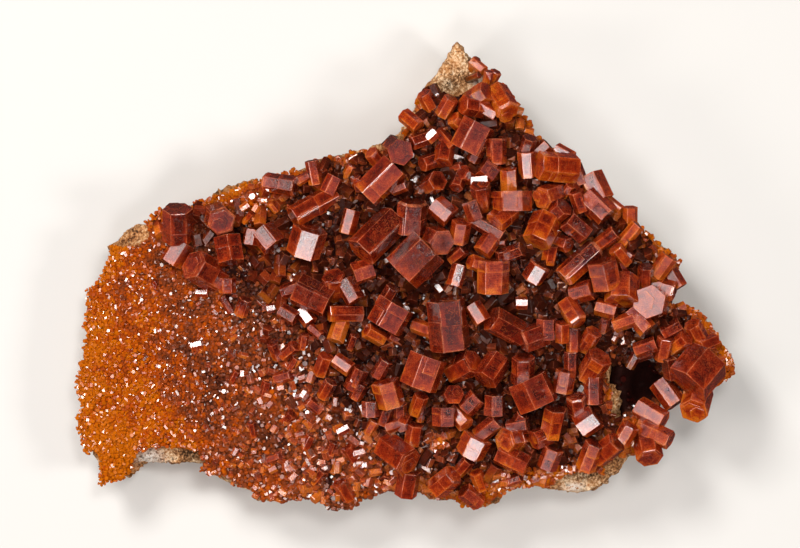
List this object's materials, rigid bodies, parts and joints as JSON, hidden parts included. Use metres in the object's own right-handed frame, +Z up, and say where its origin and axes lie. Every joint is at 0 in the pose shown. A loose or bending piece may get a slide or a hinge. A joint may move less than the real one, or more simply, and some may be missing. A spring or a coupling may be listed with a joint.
{
  "type": "vanadinite on matrix",
  "caption": "Mineral specimen lying on its back: a flat rock plate with a peak, covered by fine red-orange crystals and larger hexagonal barrel crystals.",
  "frame": {"origin": "middle of the box that holds the object, on the flat underside it rests on", "axes": "+X along the longest side, +Y toward the rock peak, +Z up out of the crystal side"},
  "size_m": [0.0994, 0.0703, 0.0207],
  "materials": {
    "rock": "rough tan matrix rock",
    "fine_crystals": "sparkling orange-brown druse",
    "crystals": "glossy translucent red-brown crystal faces"
  },
  "bodies": {
    "root": {"cluster_01": "crystals", "cluster_02": "crystals", "cluster_03": "crystals", "cluster_04": "crystals", "cluster_05": "crystals", "cluster_06": "crystals", "cluster_07": "crystals", "cluster_08": "crystals", "cluster_09": "crystals", "cluster_10": "crystals", "cluster_11": "crystals", "cluster_12": "crystals", "cluster_13": "crystals", "cluster_14": "crystals", "cluster_15": "crystals", "cluster_16": "crystals", "cluster_17": "crystals", "cluster_18": "crystals", "cluster_19": "crystals", "cluster_20": "crystals", "cluster_21": "crystals", "cluster_22": "crystals", "cluster_23": "crystals", "cluster_24": "crystals", "crystal_01": "crystals", "crystal_02": "crystals", "crystal_03": "crystals", "crystal_04": "crystals", "crystal_05": "crystals", "crystal_06": "crystals", "crystal_07": "crystals", "crystal_08": "crystals", "crystal_09": "crystals", "crystal_10": "crystals", "crystal_11": "crystals", "crystal_12": "crystals", "druse_crust": "fine_crystals", "matrix": "rock"}
  },
  "joints": []
}
